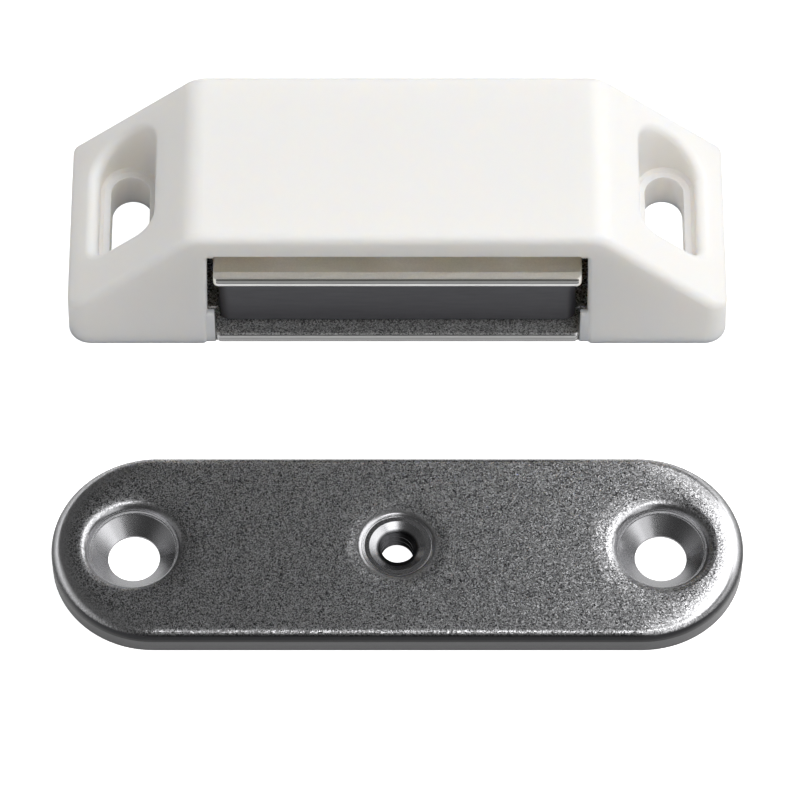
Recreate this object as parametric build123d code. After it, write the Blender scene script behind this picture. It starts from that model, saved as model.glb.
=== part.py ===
"""Screw-on magnetic cabinet catch with its counter plate.

The catch body lies on its mounting face with its mouth towards -Y. The counter plate lies
on its back in front of it. Both stand on z = 0, and the origin is under the middle of the
set. All sizes are in millimetres and all angles in degrees.
"""
from build123d import *
from math import radians, tan
import os

# ---------------------------------------------------------------- housing: outer form
body_length = 58.8           # tip to tip at the mounting face
body_depth = 18.4            # front to back at the mounting face
body_height = 16.0           # mounting face to outer face
wing_length = 11.4           # each tip to the corner where its slope meets the outer face
wing_tip_height = 4.6        # upright wall at each wing tip
side_draft = 1.5             # outer walls lean inwards going up
front_corner_radius = 2.0    # upright corners beside the mouth
rear_corner_radius = 1.0
shoulder_radius = 2.5        # outer face into wing slope
rim_radius = 0.8             # soft edge all round the top

# ---------------------------------------------------------------- housing: magnet chamber
cheek_width = 0.92           # front wall in front of each end of the chamber
mouth_height = 13.2
mouth_corner_radius = 0.45
mouth_edge_radius = 0.4      # soft front edge of the mouth
chamber_end_margin = 11.5    # each tip to the chamber, at the mounting face
core_draft = 1.4             # mouth and chamber walls lean inwards going up
front_wall = 2.0
rear_wall = 1.9
roof_wall = 1.95
chamber_corner_bevel = 0.5
chamber_roof_bevel = 0.4     # wall into roof, inside
guide_height = 4.4           # guides for the inner pole plate in the mouth's lower corners
guide_setback = 0.2          # their faces stand this far behind the front wall's face
guide_depth = 0.6
guide_clearance = 0.06       # to the ends of the pole plate
guide_edge_radius = 0.3
rib_count = 3                # hold-down ribs under the roof
rib_spacing = 10.0
rib_thickness = 1.2
rib_setback = 3.4            # front of the ribs behind the front face
hold_down_clearance = 0.15   # ribs to outer pole plate

# ---------------------------------------------------------------- housing: screw slots
slot_end_margin = 5.4        # each tip to the middle of its slot
slot_width = 3.5
slot_front_margin = 5.2      # front face to the near end of the slot
slot_rear_margin = 3.3       # far end of the slot to the rear face
slot_draft = 1.0             # slots widen towards the mounting face
head_ledge = 0.9             # seat for the screw head, beside and behind the slot
near_ledge = 0.6             # the same, ahead of the slot
pocket_floor = 4.1           # height of that seat above the mounting face
pocket_corner_radius = 1.3   # near end of the pocket; its far end is round
pocket_rim_radius = 0.7
pocket_floor_bevel = 0.3

# ---------------------------------------------------------------- magnet and pole plates
plate_end_gap = 0.8          # pole plates to the sides of the mouth
plate_thickness = 1.2
plate_setback = 0.05         # pole faces behind the foot of the front wall
plate_corner_radius = 0.5
plate_edge_bevel = 0.12      # broken edge of the sheared sheet
magnet_end_setback = 0.3     # magnet behind the ends of the pole plates
magnet_front_setback = 1.5   # magnet behind the pole faces
magnet_rear_setback = 1.6    # magnet ahead of the rear edge of the pole plates
magnet_thickness = 7.85
magnet_corner_radius = 1.0
magnet_edge_bevel = 0.2
back_clearance = 0.1         # inner pole plate above the mounting face
rear_clearance = 0.1         # pole plates to rear wall, at rest
ear_clearance = 0.15         # ears of the pole plates to the chamber's end walls
float_travel = 0.6           # forward float of the magnet pack, which aligns it to a door
float_clearance = 0.1        # ears to front wall at the end of the float

# ---------------------------------------------------------------- counter plate
counter_length = 60.0
counter_width = 18.0
counter_height = 2.65
sheet_thickness = 1.2
bend_radius = 0.9            # outside of the turned-down edge
inner_bend_bevel = 0.3
quarter_pull = 0.5523        # how hard a quarter bend pulls towards its corner; 0.5523 is round
screw_hole_spacing = 45.8
screw_hole_radius = 2.25
screw_land = 0.2             # straight wall of the hole under its countersink
crease_radius = 3.8          # widest ring of the countersink's cone
roll_radius = 1.05           # face of the plate rolled over into the countersink
bore_radius = 1.65           # core of the M4 thread in the middle
collar_wall = 0.95
funnel_radius = 2.44         # lead-in above the thread
funnel_depth = 0.5
land_width = 0.53            # ring round the lead-in
land_drop = 0.22             # that ring below the plate's face
land_roll = 0.4              # face of the plate rolled over onto that ring

# ---------------------------------------------------------------- layout of the set
set_gap = 13.3               # counter plate to catch body

# ---------------------------------------------------------------- derived places
set_depth = body_depth + set_gap + counter_width
body_front = set_depth / 2 - body_depth
counter_y = counter_width / 2 - set_depth / 2
over = 1.0                   # how far cutters run past a face
core_lean = tan(radians(core_draft))

outer_face_length = body_length - 2 * wing_length
chamber_length = body_length - 2 * chamber_end_margin   # at the mounting face
chamber_height = body_height - roof_wall
mouth_length = chamber_length - 2 * cheek_width         # at the mounting face
slot_spacing = body_length - 2 * slot_end_margin
slot_length = body_depth - slot_front_margin - slot_rear_margin
slot_y = body_front + slot_front_margin + slot_length / 2
slot_travel = slot_length - slot_width          # between the centres of its rounded ends
chamber_depth = body_depth - front_wall - rear_wall
inner_plate_z = back_clearance
magnet_z = inner_plate_z + plate_thickness
outer_plate_z = magnet_z + magnet_thickness
pack_top = outer_plate_z + plate_thickness
pack_lean = pack_top * core_lean                # how far the walls lean in at the pack's top

pole_face = body_front + plate_setback
plate_rear = body_front + body_depth - rear_wall - pack_lean - rear_clearance
ear_front = body_front + front_wall + pack_lean + float_travel + float_clearance
ear_length = chamber_length - 2 * (pack_lean + ear_clearance)
plate_length = mouth_length - 2 * plate_end_gap
magnet_length = plate_length - 2 * magnet_end_setback
magnet_depth = plate_rear - pole_face - magnet_front_setback - magnet_rear_setback
inside_z = counter_height - sheet_thickness     # underside of the counter plate's sheet


def at_height(z):
    """Filter for flat edges and vertices that lie at the height z."""
    return lambda shape: abs(shape.center().Z - z) < 0.01


def body_envelope():
    """A drafted block under a roof with two wing slopes, soft along its whole top rim."""
    plan = Pos(0, body_front + body_depth / 2) * Rectangle(body_length, body_depth)
    rows = plan.vertices().group_by(Axis.Y)
    front_corners, rear_corners = rows[0], rows[-1]
    plan = fillet(front_corners, front_corner_radius)
    plan = fillet(plan.vertices().group_by(Axis.Y)[-1], rear_corner_radius)
    block = extrude(plan, body_height + over, taper=side_draft)

    half_face = outer_face_length / 2
    fall = (body_height - wing_tip_height) / (body_length / 2 - half_face)
    reach = body_length / 2 + over
    eaves = body_height - fall * (reach - half_face)
    outline = Polyline(
        (-reach, -over), (-reach, eaves), (-half_face, body_height),
        (half_face, body_height), (reach, eaves), (reach, -over), close=True,
    )
    profile = make_face(outline)
    profile = fillet(profile.vertices().group_by(Axis.Y)[-1], shoulder_radius)
    body = block & extrude(Plane.XZ * profile, -set_depth)

    def on_rim(edge):
        box = edge.bounding_box()
        across = box.size.Y > body_depth / 2
        return box.min.Z > 0.01 and not (across and box.max.Z > body_height - shoulder_radius)

    return fillet(body.edges().filter_by(on_rim), rim_radius)


def chamber():
    """Cutter for the magnet chamber, open at the back of the catch."""
    middle = Pos(0, body_front + front_wall + chamber_depth / 2)
    plan = middle * Rectangle(chamber_length, chamber_depth)
    plan = chamfer(plan.vertices(), chamber_corner_bevel)
    core = extrude(plan, chamber_height, taper=core_draft)
    core = chamfer(core.edges().filter_by(at_height(chamber_height)), chamber_roof_bevel)
    return core + extrude(plan, -over)


def mouth():
    """Cutter for the opening in the front wall, open downwards too."""
    foot = mouth_length / 2 + over * core_lean
    top = mouth_length / 2 - mouth_height * core_lean
    outline = make_face(Polyline(
        (-foot, -over), (-top, mouth_height), (top, mouth_height), (foot, -over), close=True
    ))
    outline = fillet(outline.vertices().group_by(Axis.Y)[-1], mouth_corner_radius)
    deep = over + front_wall + chamber_depth / 2
    return Pos(0, body_front - over) * extrude(Plane.XZ * outline, -deep)


def guide(side):
    """Block in one lower corner of the mouth, beside the end of the inner pole plate."""
    inside = plate_length / 2 + guide_clearance
    outside = (mouth_length + chamber_length) / 4
    front = body_front + guide_setback
    rear = front + guide_depth
    block = Pos(side * (inside + outside) / 2, (front + rear) / 2) * Box(
        outside - inside, rear - front, guide_height, align=(Align.CENTER, Align.CENTER, Align.MIN)
    )
    top_front = block.edges().filter_by(Axis.X).group_by(Axis.Z)[-1].sort_by(Axis.Y)[0]
    return fillet(top_front, guide_edge_radius)


def hold_down_rib(number):
    """One rib under the roof, down to just above the outer pole plate."""
    x = (number - (rib_count - 1) / 2) * rib_spacing
    front = body_front + rib_setback
    rear = body_front + body_depth - rear_wall / 2
    foot = pack_top + hold_down_clearance
    top = body_height - roof_wall / 2
    return Pos(x, (front + rear) / 2, (foot + top) / 2) * Box(
        rib_thickness, rear - front, top - foot
    )


def screw_slot(side):
    """Cutter for one wing: a pocket for the screw head, square in front, over an obround slot."""
    shank = SlotCenterToCenter(slot_travel, slot_width, rotation=90)
    half_width = slot_width / 2 + head_ledge
    near_end = -slot_length / 2 - near_ledge
    far_end = slot_length / 2 + head_ledge
    far_side = far_end - half_width
    round_end = ThreePointArc((half_width, far_side), (0, far_end), (-half_width, far_side))
    rest = Polyline(
        (-half_width, far_side), (-half_width, near_end), (half_width, near_end),
        (half_width, far_side),
    )
    head = make_face(round_end + rest)
    head = fillet(head.vertices().group_by(Axis.Y)[0], pocket_corner_radius)
    pocket = extrude(head, body_height)
    pocket = chamfer(pocket.edges().filter_by(at_height(0)), pocket_floor_bevel)
    slot = extrude(shank, pocket_floor + over, taper=-slot_draft)
    seat = Pos(side * slot_spacing / 2, slot_y, pocket_floor)
    return seat * (pocket + Rot(180, 0, 0) * slot)


def housing():
    """One moulding: shell, mouth with guides, ribs, and a pocketed slot in each wing."""
    body = body_envelope() - mouth()
    body = fillet(
        body.edges().filter_by(
            lambda e: abs(e.center().X) < mouth_length / 2 + over
            and e.center().Y < body_front + front_wall / 2
            and 0.01 < e.center().Z < mouth_height + 0.01
        ),
        mouth_edge_radius,
    )
    for side in (-1, 1):
        uncut = body
        cutter = screw_slot(side)
        body = uncut - cutter
        rim = new_edges(uncut, cutter, combined=body).filter_by(
            lambda e: e.bounding_box().min.Z > pocket_floor + 2 * pocket_floor_bevel
        )
        body = fillet(rim, pocket_rim_radius)
        body += guide(side)
    body -= chamber()
    for number in range(rib_count):
        body += hold_down_rib(number)
    return body


def pole_plate(z):
    """Sheet with its pole face to the front and ears that the front wall holds back."""
    bar = Pos(0, (pole_face + plate_rear) / 2) * Rectangle(plate_length, plate_rear - pole_face)
    ears = Pos(0, (ear_front + plate_rear) / 2) * Rectangle(ear_length, plate_rear - ear_front)
    outline = bar + ears
    rows = outline.vertices().group_by(Axis.Y)
    outline = fillet(rows[0] + rows[-1], plate_corner_radius)
    plate = extrude(outline, plate_thickness)
    rims = plate.edges().filter_by(lambda e: not at_height(plate_thickness / 2)(e))
    return Pos(0, 0, z) * chamfer(rims, plate_edge_bevel)


def magnet():
    """Sintered block with rounded upright corners, between the pole plates."""
    front = pole_face + magnet_front_setback
    plan = Pos(0, front + magnet_depth / 2) * RectangleRounded(
        magnet_length, magnet_depth, magnet_corner_radius
    )
    block = extrude(plan, magnet_thickness)
    rims = block.edges().filter_by(lambda e: not at_height(magnet_thickness / 2)(e))
    return Pos(0, 0, magnet_z) * chamfer(rims, magnet_edge_bevel)


def quarter_bend(corner, start, end):
    """The curve of a bent sheet from start to end, tangent to both lines from the corner."""
    corner, start, end = Vector(corner), Vector(start), Vector(end)
    return Bezier(
        start, start + (corner - start) * quarter_pull, end + (corner - end) * quarter_pull, end
    )


def countersink():
    """Cutter: the face rolls over to a crease, then a cone runs down to the screw hole."""
    shoulder = crease_radius + roll_radius
    crease_z = counter_height - roll_radius
    roll = quarter_bend(
        (crease_radius, counter_height), (shoulder, counter_height), (crease_radius, crease_z)
    )
    rest = Polyline(
        (crease_radius, crease_z), (screw_hole_radius, screw_land), (screw_hole_radius, -over),
        (0, -over), (0, counter_height + over), (shoulder, counter_height + over),
        (shoulder, counter_height),
    )
    return revolve(Plane.XZ * make_face(roll + rest), Axis.Z)


def screw_cup():
    """The sheet drawn down round one screw hole, as deep as the plate is high."""
    foot = screw_hole_radius + sheet_thickness
    profile = Polyline((0, 0), (foot, 0), (foot + inside_z, inside_z),
                       (foot + inside_z, counter_height - bend_radius),
                       (0, counter_height - bend_radius), close=True)
    return revolve(Plane.XZ * make_face(profile), Axis.Z)


def threaded_hole():
    """Cutter for the middle hole: rolled edge, ring, lead-in and the thread's core."""
    ring_radius = funnel_radius + land_width
    ring_z = counter_height - land_drop
    brim = ring_radius + land_roll
    roll = Bezier(
        (brim, counter_height), (brim - land_roll / 2, counter_height), (ring_radius, ring_z)
    )
    rest = Polyline(
        (ring_radius, ring_z), (funnel_radius, ring_z), (bore_radius, ring_z - funnel_depth),
        (bore_radius, -over), (0, -over), (0, counter_height + over),
        (brim, counter_height + over), (brim, counter_height),
    )
    return revolve(Plane.XZ * make_face(roll + rest), Axis.Z)


def counter_plate():
    """Pressed steel pan with two countersunk screw holes and a threaded collar."""
    pan = extrude(SlotOverall(counter_length, counter_width), counter_height)
    pan = fillet(pan.edges().filter_by(at_height(counter_height)), bend_radius)
    hollow = extrude(
        SlotOverall(counter_length - 2 * sheet_thickness, counter_width - 2 * sheet_thickness),
        inside_z,
    )
    pan -= chamfer(hollow.edges().filter_by(at_height(inside_z)), inner_bend_bevel)
    for side in (-1, 1):
        pan += Pos(side * screw_hole_spacing / 2) * screw_cup()
        pan -= Pos(side * screw_hole_spacing / 2) * countersink()
    pan += extrude(Circle(bore_radius + collar_wall), counter_height - bend_radius)
    pan -= threaded_hole()
    return Pos(0, counter_y) * pan


nodes = {
    "housing": housing(),
    "inner_pole_plate": pole_plate(inner_plate_z),
    "magnet": magnet(),
    "outer_pole_plate": pole_plate(outer_plate_z),
    "counter_plate": counter_plate(),
}

os.makedirs("parts", exist_ok=True)
for name, solid in nodes.items():
    export_step(solid, f"parts/{name}.step")
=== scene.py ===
# %% [markdown]
# # A magnetic cabinet catch and its counter plate
# The CAD model gives every piece at its real size. This file gives the pieces their
# finishes, adds the screw thread that the CAD model leaves out, and lights and frames the
# set.

# %% Load the fixed frame
from math import cos, pi, radians, sin

import bmesh
import bpy
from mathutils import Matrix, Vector


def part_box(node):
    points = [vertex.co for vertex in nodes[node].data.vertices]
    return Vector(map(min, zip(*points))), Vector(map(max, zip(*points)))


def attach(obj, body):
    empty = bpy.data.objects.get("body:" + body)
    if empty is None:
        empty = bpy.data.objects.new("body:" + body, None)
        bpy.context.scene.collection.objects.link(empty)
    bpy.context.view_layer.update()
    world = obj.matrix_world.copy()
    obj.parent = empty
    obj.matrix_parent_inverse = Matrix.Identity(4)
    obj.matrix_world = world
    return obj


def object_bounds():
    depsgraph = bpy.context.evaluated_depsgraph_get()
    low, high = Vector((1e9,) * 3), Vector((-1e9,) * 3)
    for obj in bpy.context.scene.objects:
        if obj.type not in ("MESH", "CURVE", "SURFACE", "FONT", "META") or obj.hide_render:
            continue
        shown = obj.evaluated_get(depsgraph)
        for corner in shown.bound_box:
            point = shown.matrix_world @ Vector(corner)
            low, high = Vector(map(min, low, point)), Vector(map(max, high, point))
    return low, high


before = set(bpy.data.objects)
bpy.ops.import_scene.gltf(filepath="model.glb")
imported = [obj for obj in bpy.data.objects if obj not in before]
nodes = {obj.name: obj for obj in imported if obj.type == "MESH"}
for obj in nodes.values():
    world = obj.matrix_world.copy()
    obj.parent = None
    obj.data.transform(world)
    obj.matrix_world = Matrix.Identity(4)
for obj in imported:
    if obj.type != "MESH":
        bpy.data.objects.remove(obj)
cad_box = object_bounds()
scene = bpy.context.scene
MM = 0.001
print("nodes:", sorted(nodes))

# %% [markdown]
# Every colour is written as the sRGB hex value that a colour chart would show. The shader
# works in linear light, so one function turns the hex value into that. A second small
# function adds a shader node, sets it up and links it, so that each material reads as a
# short list of its nodes.

# %% Colours and shader nodes
def colour(hex_value):
    """Linear RGBA of an sRGB hex colour such as '#8a8a8c'."""
    parts = [int(hex_value[i:i + 2], 16) / 255 for i in (1, 3, 5)]
    linear = [p / 12.92 if p <= 0.04045 else ((p + 0.055) / 1.055) ** 2.4 for p in parts]
    return (*linear, 1.0)


def add(tree, kind, settings=None, inputs=None, stops=None):
    """Add a shader node with its settings, inputs (values or sockets) and colour stops."""
    node = tree.nodes.new(kind)
    for name, value in (settings or {}).items():
        setattr(node, name, value)
    for name, value in (inputs or {}).items():
        socket = node.inputs[name]
        if isinstance(value, bpy.types.NodeSocket):
            tree.links.new(value, socket)
        else:
            socket.default_value = value
    for number, (position, value) in enumerate(stops or []):
        elements = node.color_ramp.elements
        stop = elements[number] if number < 2 else elements.new(position)
        stop.position, stop.color = position, value
    return node


def new_material(name):
    """An empty material, its node tree and its output node."""
    material = bpy.data.materials.new(name)
    material.use_nodes = True
    tree = material.node_tree
    tree.nodes.clear()
    return material, tree, tree.nodes.new("ShaderNodeOutputMaterial")


def dress(node_name, material):
    """Give a CAD node its finish."""
    mesh = nodes[node_name].data
    mesh.materials.clear()
    mesh.materials.append(material)
    print(node_name, "is finished in", material.name)

# %% [markdown]
# The housing is white ABS, injection moulded in a finely sparked tool. That leaves a satin
# skin: a soft wide sheen and, close up, a very fine grain. White plastic also lets light
# into itself, which fills the screw pockets softly and glows through the thin walls into
# the chamber. A Principled shader with a short subsurface radius gives both, and a fine
# noise drives the bump. Spark grain is about 0.05 mm, too fine to show here, so it is drawn
# at 0.35 mm.

# %% White moulded plastic
spark_grain = 0.35 * MM
plastic, tree, output = new_material("white_abs_spark_finish")
place = add(tree, "ShaderNodeTexCoord")
grain = add(tree, "ShaderNodeTexNoise", inputs={
    "Vector": place.outputs["Object"], "Scale": 1 / spark_grain, "Detail": 3.0, "Roughness": 0.55,
})
relief = add(tree, "ShaderNodeBump", inputs={
    "Height": grain.outputs["Fac"], "Strength": 0.12, "Distance": 0.02 * MM,
})
shader = add(tree, "ShaderNodeBsdfPrincipled", inputs={
    "Base Color": colour("#f5f3f0"), "Roughness": 0.5, "IOR": 1.53, "Specular IOR Level": 0.35,
    "Subsurface Weight": 1.0, "Subsurface Radius": (1.0, 0.92, 0.78), "Subsurface Scale": 1.8 * MM,
    "Normal": relief.outputs["Normal"],
})
tree.links.new(shader.outputs["BSDF"], output.inputs["Surface"])
dress("housing", plastic)

# %% [markdown]
# The magnet is a sintered ferrite block, ground flat. Ferrite is a dark grey ceramic with a
# dull sheen. The grinding wheel ran along the block, so its fine marks do too, and they are
# drawn 0.3 mm wide because the real ones are too fine to show.

# %% Ground ferrite
grinding_mark = 0.3 * MM
ferrite, tree, output = new_material("ground_ferrite")
place = add(tree, "ShaderNodeTexCoord")
along = add(tree, "ShaderNodeMapping", inputs={
    "Vector": place.outputs["Object"],
    "Scale": (1 / (2.5 * MM), 1 / grinding_mark, 1 / grinding_mark),
})
marks = add(tree, "ShaderNodeTexNoise", inputs={
    "Vector": along.outputs["Vector"], "Scale": 1.0, "Detail": 3.0, "Roughness": 0.6,
})
shade = add(tree, "ShaderNodeMix", {"data_type": "RGBA"}, {
    "Factor": marks.outputs["Fac"], 6: colour("#39393f"), 7: colour("#4b4b51"),
})
relief = add(tree, "ShaderNodeBump", inputs={
    "Height": marks.outputs["Fac"], "Strength": 0.3, "Distance": 0.02 * MM,
})
shader = add(tree, "ShaderNodeBsdfPrincipled", inputs={
    "Base Color": shade.outputs[2], "Roughness": 0.45, "Metallic": 0.0,
    "Normal": relief.outputs["Normal"],
})
tree.links.new(shader.outputs["BSDF"], output.inputs["Surface"])
dress("magnet", ferrite)

# %% [markdown]
# The pole plates are sheared from zinc plated strip. Strip steel keeps faint lines from the
# rolling mill along its length. The shear rolls the sheet's edge over where it enters, rubs
# a bright band down the cut, tears the rest of it dark, and leaves a bright lip where it
# comes out. Where the strip is seen edge on, all four show as thin lines, so the front face
# is painted by height: these bands with painted highlights and painted shade on them. The rolled
# edge is a slope of the bump.
# Zinc crystals mottle the face. Real ones on this thin plating are far too fine to show, so
# they are drawn 0.11 mm wide, and the rolling lines 0.16 mm.

# %% Zinc plated strip
zinc_grain = 0.11 * MM
mill_line = 0.16 * MM
rolled_slope = 0.26
cut_depth = 0.06 * MM        # the front face: what lies this close to the front


def zinc_strip(node_name, rolled_edge, dark_spangle, light_spangle, cut_bands_and_painted_light):
    """Zinc plated strip with a front edge rolled over by the shear, and the bands of its cut with
    painted highlights and painted shade.
    """
    material, tree, output = new_material("zinc_plated_" + node_name)
    low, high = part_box(node_name)
    place = add(tree, "ShaderNodeTexCoord")
    axes = add(tree, "ShaderNodeSeparateXYZ", inputs={"Vector": place.outputs["Object"]})
    along = add(tree, "ShaderNodeMapping", inputs={
        "Vector": place.outputs["Object"], "Scale": (1 / (3 * MM), 1 / mill_line, 1 / mill_line),
    })
    mill_lines = add(tree, "ShaderNodeTexNoise", inputs={
        "Vector": along.outputs["Vector"], "Scale": 1.0, "Detail": 2.0,
    })
    rolled = add(tree, "ShaderNodeMapRange", inputs={
        "Value": axes.outputs["Y"], "From Min": low.y, "From Max": low.y + rolled_edge,
        "To Min": 0.0, "To Max": rolled_edge * rolled_slope,
    })
    roll = add(tree, "ShaderNodeBump", inputs={
        "Height": rolled.outputs["Result"], "Strength": 1.0, "Distance": 1.0,
    })
    relief = add(tree, "ShaderNodeBump", inputs={
        "Height": mill_lines.outputs["Fac"], "Strength": 0.6, "Distance": 0.03 * MM,
        "Normal": roll.outputs["Normal"],
    })
    up_the_cut = add(tree, "ShaderNodeMapRange", inputs={
        "Value": axes.outputs["Z"], "From Min": low.z, "From Max": high.z,
    })
    # The cut's tone by height: shear bands with painted highlight lines and painted shade.
    bands = add(tree, "ShaderNodeValToRGB", inputs={"Fac": up_the_cut.outputs["Result"]},
                stops=[(position, colour(shade)) for position, shade in cut_bands_and_painted_light])
    on_cut = add(tree, "ShaderNodeMath", {"operation": "LESS_THAN"}, {
        0: axes.outputs["Y"], 1: low.y + cut_depth,
    })
    crystals = add(tree, "ShaderNodeTexVoronoi", inputs={
        "Vector": place.outputs["Object"], "Scale": 1 / zinc_grain,
    })
    crystal = add(tree, "ShaderNodeSeparateColor", inputs={"Color": crystals.outputs["Color"]})
    face = add(tree, "ShaderNodeMix", {"data_type": "RGBA"}, {
        "Factor": crystal.outputs["Red"], 6: colour(dark_spangle), 7: colour(light_spangle),
    })
    tone = add(tree, "ShaderNodeMix", {"data_type": "RGBA"}, {
        "Factor": on_cut.outputs["Value"], 6: face.outputs[2], 7: bands.outputs["Color"],
    })
    gloss = add(tree, "ShaderNodeMapRange", inputs={
        "Value": mill_lines.outputs["Fac"], "From Min": 0.3, "From Max": 0.7, "To Min": 0.4,
        "To Max": 0.52,
    })
    shader = add(tree, "ShaderNodeBsdfPrincipled", inputs={
        "Base Color": tone.outputs[2], "Roughness": gloss.outputs["Result"], "Metallic": 1.0,
        "Normal": relief.outputs["Normal"],
    })
    tree.links.new(shader.outputs["BSDF"], output.inputs["Surface"])
    dress(node_name, material)


# The outer plate's near-white, warm spangle is painted light from the white housing round it, so it
# reads lighter than the inner plate of the same strip.
zinc_strip("outer_pole_plate", 0.75 * MM, "#efece5", "#f5f2eb", [
    (0.0, "#f4f4f2"), (0.36, "#f4f4f2"), (0.44, "#6a6a6a"), (0.5, "#6a6a6a"), (0.58, "#b4b4b2"),
    (0.72, "#a0a09e"), (0.8, "#5c5b58"), (0.9, "#5c5b58"), (1.0, "#c8c6c0"),
])
# The dark foot of the inner plate's cut is painted shade.
zinc_strip("inner_pole_plate", 0.15 * MM, "#727272", "#f6f6f6", [
    (0.0, "#2a2a2a"), (0.12, "#4a4a4a"), (0.18, "#bababa"), (0.45, "#bababa"), (0.5, "#8c8c8c"),
    (0.56, "#c4c4c4"), (0.84, "#c8c8c8"), (0.9, "#4c4c4c"), (1.0, "#6a6a6a"),
])

# %% [markdown]
# The counter plate is pressed from steel strip that was blasted with fine grit first, so its
# face is a mass of tiny facets. Where the press tools rubbed, on the turned-down side, in the
# countersinks and round the thread, the steel is smooth. One material does both: it works out
# how far each point is from the nearest hole and how high it lies, and mixes a rough grainy
# surface with a smooth one. The press also pulls the sheet down round each hole and at the two
# ends, and leaves a fine ring at each crease. Here only the bump shows that: the mesh doesn't
# have it. At the ends it stands for a drop of almost 1 mm, which would be better modelled.

# %% Where the counter plate is smooth
plate_low, plate_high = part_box("counter_plate")
plate_middle = (plate_low + plate_high) / 2
screw_hole_spacing = 45.8 * MM
crease_radius = 3.8 * MM
collar_ring_radius = 2.97 * MM
screw_hole_pull = 2.4 * MM   # how far out from the crease the sheet is pulled down
collar_pull = 1.6 * MM
crease_ring_height = 0.04 * MM

steel, tree, output = new_material("blasted_and_drawn_steel")
place = add(tree, "ShaderNodeTexCoord")
axes = add(tree, "ShaderNodeSeparateXYZ", inputs={"Vector": place.outputs["Object"]})
mirrored_x = add(tree, "ShaderNodeMath", {"operation": "ABSOLUTE"}, {0: axes.outputs["X"]})
flat = add(tree, "ShaderNodeCombineXYZ", inputs={
    "X": mirrored_x.outputs["Value"], "Y": axes.outputs["Y"],
})


def pressed_hole(x, crease, pulled_over):
    """Distance from the hole's axis, 1 inside its crease and 0 outside, height of ring and pull."""
    away = add(tree, "ShaderNodeVectorMath", {"operation": "DISTANCE"}, {
        0: flat.outputs["Vector"], 1: (x, plate_middle.y, 0),
    })
    inside = add(tree, "ShaderNodeMapRange", {"interpolation_type": "SMOOTHSTEP"}, {
        "Value": away.outputs["Value"], "From Min": crease + 0.05 * MM,
        "From Max": crease + 0.9 * MM, "To Min": 1.0, "To Max": 0.0,
    })
    off_ring = add(tree, "ShaderNodeMath", {"operation": "SUBTRACT"}, {
        0: away.outputs["Value"], 1: crease - 0.03 * MM,
    })
    off_ring = add(tree, "ShaderNodeMath", {"operation": "ABSOLUTE"}, {
        0: off_ring.outputs["Value"],
    })
    ring = add(tree, "ShaderNodeMapRange", {"interpolation_type": "SMOOTHSTEP"}, {
        "Value": off_ring.outputs["Value"], "From Min": 0.0, "From Max": 0.1 * MM,
        "To Min": crease_ring_height, "To Max": 0.0,
    })
    pulled = add(tree, "ShaderNodeMapRange", {"interpolation_type": "SMOOTHSTEP"}, {
        "Value": away.outputs["Value"], "From Min": crease + 0.3 * MM,
        "From Max": crease + pulled_over, "To Min": -0.05 * pulled_over, "To Max": 0.0,
    })
    height = add(tree, "ShaderNodeMath", {"operation": "ADD"}, {
        0: pulled.outputs["Result"], 1: ring.outputs["Result"],
    })
    return away.outputs["Value"], inside.outputs["Result"], height.outputs["Value"]


_, in_screw_hole, screw_hole_height = pressed_hole(
    screw_hole_spacing / 2, crease_radius, screw_hole_pull,
)
from_collar, in_collar, collar_height = pressed_hole(0.0, collar_ring_radius, collar_pull)
in_holes = add(tree, "ShaderNodeMath", {"operation": "MAXIMUM"}, {0: in_screw_hole, 1: in_collar})
below_face = add(tree, "ShaderNodeMapRange", {"interpolation_type": "SMOOTHSTEP"}, {
    "Value": axes.outputs["Z"], "From Min": plate_high.z - 0.45 * MM,
    "From Max": plate_high.z - 0.15 * MM, "To Min": 1.0, "To Max": 0.0,
})
print("crease radii in mm:", crease_radius / MM, collar_ring_radius / MM)

# %% The pull of the bend at both ends
end_radius = (plate_high.y - plate_low.y) / 2
end_centre = plate_high.x - end_radius
pull_start = 5.9 * MM
pull_slope = 0.6             # at the very edge

past_centre = add(tree, "ShaderNodeMath", {"operation": "SUBTRACT"}, {
    0: mirrored_x.outputs["Value"], 1: end_centre,
})
past_centre = add(tree, "ShaderNodeMath", {"operation": "MAXIMUM"}, {
    0: past_centre.outputs["Value"], 1: 0.0,
})
from_centre = add(tree, "ShaderNodeVectorMath", {"operation": "DISTANCE"}, {
    0: flat.outputs["Vector"], 1: (end_centre, plate_middle.y, 0),
})
end_share = add(tree, "ShaderNodeMath", {"operation": "DIVIDE"}, {
    0: past_centre.outputs["Value"], 1: from_centre.outputs["Value"],
})
pulled = add(tree, "ShaderNodeMapRange", inputs={
    "Value": from_centre.outputs["Value"], "From Min": pull_start, "From Max": end_radius,
    "To Min": 0.0, "To Max": 1.0,
})
pulled = add(tree, "ShaderNodeMath", {"operation": "POWER"}, {0: pulled.outputs["Result"], 1: 2.0})
pulled = add(tree, "ShaderNodeMath", {"operation": "MULTIPLY"}, {
    0: pulled.outputs["Value"], 1: end_share.outputs["Value"],
})
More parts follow.
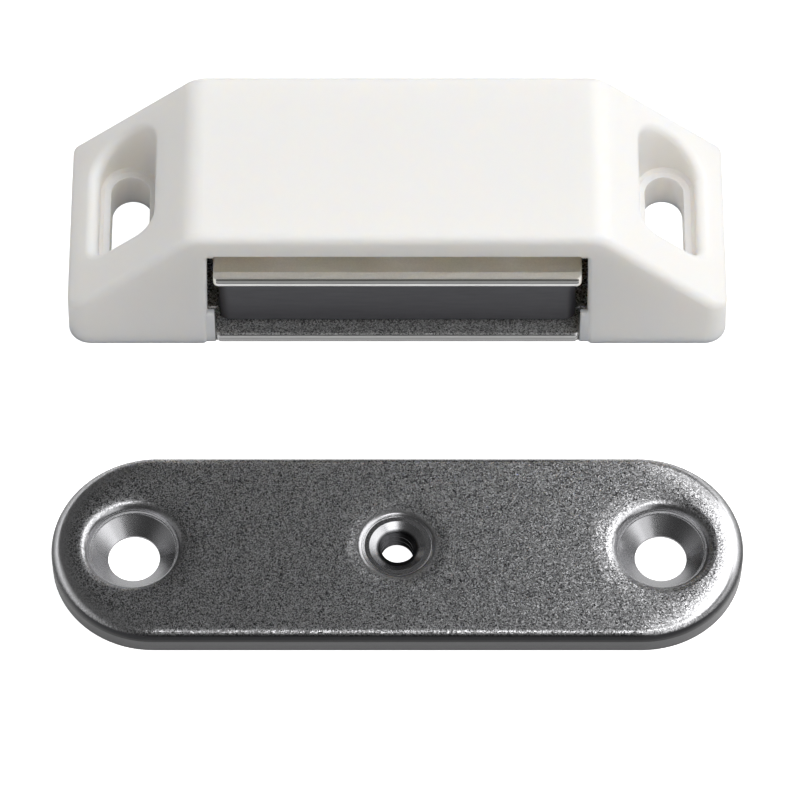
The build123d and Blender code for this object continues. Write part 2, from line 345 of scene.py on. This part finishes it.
# The smooth drawn ends take the light top of the painted side reflections: a painted highlight on
# both ends.
drawn_and_highlighted_end = add(tree, "ShaderNodeMapRange", {"interpolation_type": "SMOOTHSTEP"}, {
    "Value": from_centre.outputs["Value"], "From Min": 6.9 * MM, "From Max": 8.3 * MM,
    "To Min": 0.0, "To Max": 0.9,
})
drawn_and_highlighted_end = add(tree, "ShaderNodeMath", {"operation": "MULTIPLY"}, {
    0: drawn_and_highlighted_end.outputs["Result"], 1: end_share.outputs["Value"],
})
smooth = add(tree, "ShaderNodeMath", {"operation": "MAXIMUM"}, {
    0: in_holes.outputs["Value"], 1: below_face.outputs["Result"],
})
smooth = add(tree, "ShaderNodeMath", {"operation": "MAXIMUM"}, {
    0: smooth.outputs["Value"], 1: drawn_and_highlighted_end.outputs["Value"],
})
end_drop = (end_radius - pull_start) * pull_slope / 2
heights = add(tree, "ShaderNodeMath", {"operation": "ADD"}, {
    0: screw_hole_height, 1: collar_height,
})
heights = add(tree, "ShaderNodeMath", {"operation": "MULTIPLY_ADD"}, {
    0: pulled.outputs["Value"], 1: -end_drop, 2: heights.outputs["Value"],
})
print("drop at the ends in mm, in the bump alone:", round(end_drop / MM, 2))

# %% [markdown]
# Each cell of a Voronoi texture is one facet of the blasted face: its random colour gives the
# facet its own lean and its own shade, which makes the face glitter as blasted metal does. A
# real facet is 0.05 mm wide, too fine to show, so here it is 0.095 mm. The turned-down side
# gets painted reflections in bands by height, with a painted highlight on the bend and painted
# shade at the foot, and the bore is painted dark as painted shade.

# %% Blasted and drawn steel
blast_grain = 0.095 * MM
blast_lean = 0.17            # how far the normals of the blasted facets scatter

facets = add(tree, "ShaderNodeTexVoronoi", inputs={
    "Vector": place.outputs["Object"], "Scale": 1 / blast_grain,
})
grain_share = add(tree, "ShaderNodeMapRange", inputs={
    "Value": smooth.outputs["Value"], "To Min": blast_lean, "To Max": 0.0,
})
lean = add(tree, "ShaderNodeVectorMath", {"operation": "SUBTRACT"}, {
    0: facets.outputs["Color"], 1: (0.5, 0.5, 0.5),
})
lean = add(tree, "ShaderNodeVectorMath", {"operation": "SCALE"}, {
    0: lean.outputs["Vector"], "Scale": grain_share.outputs["Result"],
})
surface = add(tree, "ShaderNodeNewGeometry")
blasted = add(tree, "ShaderNodeVectorMath", {"operation": "ADD"}, {
    0: surface.outputs["Normal"], 1: lean.outputs["Vector"],
})
blasted = add(tree, "ShaderNodeVectorMath", {"operation": "NORMALIZE"}, {
    0: blasted.outputs["Vector"],
})
relief = add(tree, "ShaderNodeBump", inputs={
    "Height": heights.outputs["Value"], "Strength": 1.0, "Distance": 1.0,
    "Normal": blasted.outputs["Vector"],
})
facet_value = add(tree, "ShaderNodeSeparateColor", inputs={"Color": facets.outputs["Color"]})
grain_tone = add(tree, "ShaderNodeMix", {"data_type": "RGBA"}, {
    "Factor": facet_value.outputs["Blue"], 6: colour("#3c3c3e"), 7: colour("#ececee"),
})
up_the_side = add(tree, "ShaderNodeMapRange", inputs={
    "Value": axes.outputs["Z"], "From Min": plate_low.z, "From Max": plate_high.z,
})
# Painted reflections on the turned-down side: a little darker at the foot as painted shade, a dark
# band as the painted reflection of the dark room, and a light top as a painted highlight on the
# bend.
side_painted_reflections = add(tree, "ShaderNodeValToRGB", inputs={"Fac": up_the_side.outputs["Result"]}, stops=[
    (0.0, colour("#4c4c4d")), (0.05, colour("#6c6c6d")), (0.53, colour("#646465")),
    (0.57, colour("#2e2e2f")), (0.87, colour("#38383a")), (0.97, colour("#e6e6e8")),
])
# Painted shade: the bore of the collar and the thread in it are painted dark.
bore_painted_shade = add(tree, "ShaderNodeMapRange", {"interpolation_type": "SMOOTHSTEP"}, {
    "Value": from_collar, "From Min": 1.7 * MM, "From Max": 1.95 * MM,
    "To Min": 1.0, "To Max": 0.0,
})
hole_tone = add(tree, "ShaderNodeMix", {"data_type": "RGBA"}, {
    "Factor": bore_painted_shade.outputs["Result"], 6: colour("#aaaaac"), 7: colour("#3a3a3c"),
})
# Smooth steel takes the painted side reflections; in the holes it takes the hole tone with the
# bore's painted shade.
smooth_tone_with_painted_light = add(tree, "ShaderNodeMix", {"data_type": "RGBA"}, {
    "Factor": in_holes.outputs["Value"], 6: side_painted_reflections.outputs["Color"], 7: hole_tone.outputs[2],
})
tone = add(tree, "ShaderNodeMix", {"data_type": "RGBA"}, {
    "Factor": smooth.outputs["Value"], 6: grain_tone.outputs[2], 7: smooth_tone_with_painted_light.outputs[2],
})
gloss = add(tree, "ShaderNodeMapRange", inputs={
    "Value": smooth.outputs["Value"], "To Min": 0.34, "To Max": 0.27,
})
shader = add(tree, "ShaderNodeBsdfPrincipled", inputs={
    "Base Color": tone.outputs[2], "Roughness": gloss.outputs["Result"], "Metallic": 1.0,
    "Normal": relief.outputs["Normal"],
})
tree.links.new(shader.outputs["BSDF"], output.inputs["Surface"])
dress("counter_plate", steel)

# %% [markdown]
# The collar in the middle of the counter plate is tapped. The CAD model has only the plain
# bore, so the thread is added here: one closed profile is carried round the axis on a screw
# path, and the two ends are cut off flat just inside the mouth and the foot of the bore.

# %% Thread in the collar
thread_pitch = 0.7 * MM
thread_crest = 1.38 * MM
thread_root = 1.72 * MM
bore_top = 1.9 * MM
steps_per_turn = 48
turns = 5

bm = bmesh.new()
profile = [
    (thread_root, 0.06), (thread_crest, 0.42), (thread_crest, 0.54), (thread_root, 0.9),
]
corners = [bm.verts.new((r, 0, (z - 1.5) * thread_pitch)) for r, z in profile]
ring = [bm.edges.new((corners[i], corners[(i + 1) % 4])) for i in range(4)]
bmesh.ops.spin(bm, geom=corners + ring, cent=(0, 0, 0), axis=(0, 0, 1), angle=turns * 2 * pi,
               steps=turns * steps_per_turn, dvec=(0, 0, thread_pitch / steps_per_turn))
for height, up in ((0.03 * MM, -1), (bore_top, 1)):
    bmesh.ops.bisect_plane(bm, geom=bm.verts[:] + bm.edges[:] + bm.faces[:],
                           plane_co=(0, 0, height), plane_no=(0, 0, up), clear_outer=True)
bmesh.ops.holes_fill(bm, edges=[e for e in bm.edges if e.is_boundary], sides=0)
bmesh.ops.translate(bm, verts=bm.verts, vec=(0, plate_middle.y, 0))
bmesh.ops.recalc_face_normals(bm, faces=bm.faces)
thread_mesh = bpy.data.meshes.new("collar_thread")
bm.to_mesh(thread_mesh)
bm.free()
thread = bpy.data.objects.new("collar_thread", thread_mesh)
scene.collection.objects.link(thread)
thread_mesh.materials.append(steel)
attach(thread, "catch_body")
print("thread faces:", len(thread_mesh.polygons))

# %% [markdown]
# The set lies on a plain white floor. To the camera the floor gives off light of its own, so
# it reads as white paper, and in shiny metal a quarter of that. Under the magnet's chamber,
# where no light gets in, it gives off none.

# %% Floor
bm = bmesh.new()
bmesh.ops.create_grid(bm, x_segments=1, y_segments=1, size=1.5)
bmesh.ops.translate(bm, verts=bm.verts, vec=(0, 0, cad_box[0].z - 0.02 * MM))
floor_mesh = bpy.data.meshes.new("floor")
bm.to_mesh(floor_mesh)
bm.free()
floor = bpy.data.objects.new("floor", floor_mesh)
scene.collection.objects.link(floor)

glow_in_metal = 0.25
chamber_past_pack = 0.7 * MM    # the chamber reaches this far past each end of the pack
mouth_past_pack = 0.3 * MM

pack_low, pack_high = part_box("outer_pole_plate")
paper, tree, output = new_material("white_paper_floor")
ray = add(tree, "ShaderNodeLightPath")
white_to = add(tree, "ShaderNodeMath", {"operation": "MAXIMUM"}, {
    0: ray.outputs["Is Camera Ray"], 1: ray.outputs["Is Transmission Ray"],
})
in_metal = add(tree, "ShaderNodeMath", {"operation": "MULTIPLY"}, {
    0: ray.outputs["Is Glossy Ray"], 1: glow_in_metal,
})
white_to = add(tree, "ShaderNodeMath", {"operation": "MAXIMUM"}, {
    0: white_to.outputs["Value"], 1: in_metal.outputs["Value"],
})
spot = add(tree, "ShaderNodeTexCoord")
spot_axes = add(tree, "ShaderNodeSeparateXYZ", inputs={"Vector": spot.outputs["Object"]})
spot_x = add(tree, "ShaderNodeMath", {"operation": "ABSOLUTE"}, {0: spot_axes.outputs["X"]})
beside = add(tree, "ShaderNodeMath", {"operation": "GREATER_THAN"}, {
    0: spot_x.outputs["Value"], 1: pack_high.x + chamber_past_pack,
})
in_front = add(tree, "ShaderNodeMath", {"operation": "LESS_THAN"}, {
    0: spot_axes.outputs["Y"], 1: pack_low.y + mouth_past_pack,
})
behind = add(tree, "ShaderNodeMath", {"operation": "GREATER_THAN"}, {
    0: spot_axes.outputs["Y"], 1: pack_high.y,
})
lit = add(tree, "ShaderNodeMath", {"operation": "MAXIMUM"}, {
    0: beside.outputs["Value"], 1: in_front.outputs["Value"],
})
lit = add(tree, "ShaderNodeMath", {"operation": "MAXIMUM"}, {
    0: lit.outputs["Value"], 1: behind.outputs["Value"],
})
glow_strength = add(tree, "ShaderNodeMath", {"operation": "MULTIPLY"}, {
    0: white_to.outputs["Value"], 1: lit.outputs["Value"],
})
sheet = add(tree, "ShaderNodeBsdfDiffuse", inputs={"Color": colour("#dcdcdc")})
glow = add(tree, "ShaderNodeEmission", inputs={
    "Color": (1, 1, 1, 1), "Strength": glow_strength.outputs["Value"],
})
both = add(tree, "ShaderNodeAddShader", inputs={
    0: sheet.outputs["BSDF"], 1: glow.outputs["Emission"],
})
tree.links.new(both.outputs["Shader"], output.inputs["Surface"])
floor_mesh.materials.append(paper)

# %% [markdown]
# The light is a plain studio's: soft light from all round, a little stronger from the right,
# and one big soft lamp above. Polished metal shows what stands round it, and a real studio
# is a dark room with bright cards in it. So the world is dark to shiny surfaces, which makes
# the steel look darker than its colours are written, and glowing cards stand where it should
# shine: three on the right, one near and overhead, one high in front, and two dim ones on
# the left. Only shiny surfaces see the cards, and they don't see the lamp.

# %% World
world = bpy.data.worlds.new("studio")
scene.world = world
world.use_nodes = True
tree = world.node_tree
tree.nodes.clear()
output = tree.nodes.new("ShaderNodeOutputWorld")
ray = add(tree, "ShaderNodeLightPath")
way = add(tree, "ShaderNodeTexCoord")
heading = add(tree, "ShaderNodeSeparateXYZ", inputs={"Vector": way.outputs["Generated"]})
softness = add(tree, "ShaderNodeMapRange", inputs={
    "Value": heading.outputs["X"], "From Min": -1.0, "From Max": 1.0,
    "To Min": 0.28, "To Max": 0.62,
})
soft_light = add(tree, "ShaderNodeBackground", inputs={
    "Color": (1, 1, 1, 1), "Strength": softness.outputs["Result"],
})
dark_room = add(tree, "ShaderNodeBackground", inputs={"Color": (1, 1, 1, 1), "Strength": 0.07})
white_light = add(tree, "ShaderNodeBackground", inputs={"Color": (1, 1, 1, 1), "Strength": 1.0})
lit = add(tree, "ShaderNodeMixShader", inputs={
    0: ray.outputs["Is Glossy Ray"], 1: soft_light.outputs["Background"],
    2: dark_room.outputs["Background"],
})
seen = add(tree, "ShaderNodeMixShader", inputs={
    0: ray.outputs["Is Camera Ray"], 1: lit.outputs["Shader"],
    2: white_light.outputs["Background"],
})
tree.links.new(seen.outputs["Shader"], output.inputs["Surface"])

# %% Lamp
key_lamp = bpy.data.lights.new("key_softbox", "AREA")
key_lamp.shape = "SQUARE"
key_lamp.size = 0.32
key_lamp.energy = 2.05
key = bpy.data.objects.new("key_softbox", key_lamp)
key.location = (0.18, 0.03, 0.57)
key.rotation_euler = (-key.location).to_track_quat("-Z", "Y").to_euler()
key.visible_glossy = False
scene.collection.objects.link(key)

# %% Cards
def card(name, corners, strength):
    """A glowing card with the given corners in mm, which only shows in shiny surfaces."""
    bm = bmesh.new()
    bm.faces.new([bm.verts.new([c * MM for c in corner]) for corner in corners])
    mesh = bpy.data.meshes.new(name)
    bm.to_mesh(mesh)
    bm.free()
    piece = bpy.data.objects.new(name, mesh)
    scene.collection.objects.link(piece)
    piece.visible_camera = piece.visible_diffuse = piece.visible_shadow = False
    piece.visible_transmission = False
    material, tree, output = new_material(name)
    glow = add(tree, "ShaderNodeEmission", inputs={"Color": (1, 1, 1, 1), "Strength": strength})
    tree.links.new(glow.outputs["Emission"], output.inputs["Surface"])
    mesh.materials.append(material)


card("right_card", [(600, -420, 260), (600, 800, 260), (600, 800, 900), (600, -420, 900)], 2.3)
card("low_right_card", [(600, 120, 5), (600, 800, 5), (600, 800, 140), (600, 120, 140)], 2.8)
card("front_right_card",
     [(600, -1400, 10), (600, -420, 10), (600, -420, 900), (600, -1400, 900)], 1.4)
card("front_card",
     [(-30, -840, 1000), (600, -840, 1000), (600, -440, 1000), (-30, -440, 1000)], 4.0)
card("left_card", [(-600, -500, 5), (-600, 200, 5), (-600, 200, 300), (-600, -500, 300)], 0.35)
card("low_left_card", [(-600, -500, 5), (-600, 330, 5), (-600, 330, 45), (-600, -500, 45)], 0.9)
card("near_right_card", [(60, -20, 150), (230, -20, 150), (230, 160, 150), (60, 160, 150)], 2.5)

# %% [markdown]
# The camera looks down at 58 degrees from 450 mm away, through a long lens.

# %% Camera
camera_distance = 450 * MM
camera_elevation = radians(58.3)
target = Vector((0.23 * MM, 0.47 * MM, 0))
lens = bpy.data.cameras.new("camera")
lens.sensor_width = 36.0
lens.lens = 228.3
lens.clip_start = 10 * MM
camera = bpy.data.objects.new("camera", lens)
back = Vector((0, -cos(camera_elevation), sin(camera_elevation)))
camera.location = target + camera_distance * back
camera.rotation_euler = (-back).to_track_quat("-Z", "Y").to_euler()
scene.collection.objects.link(camera)
scene.camera = camera
scene.view_settings.view_transform = "Standard"
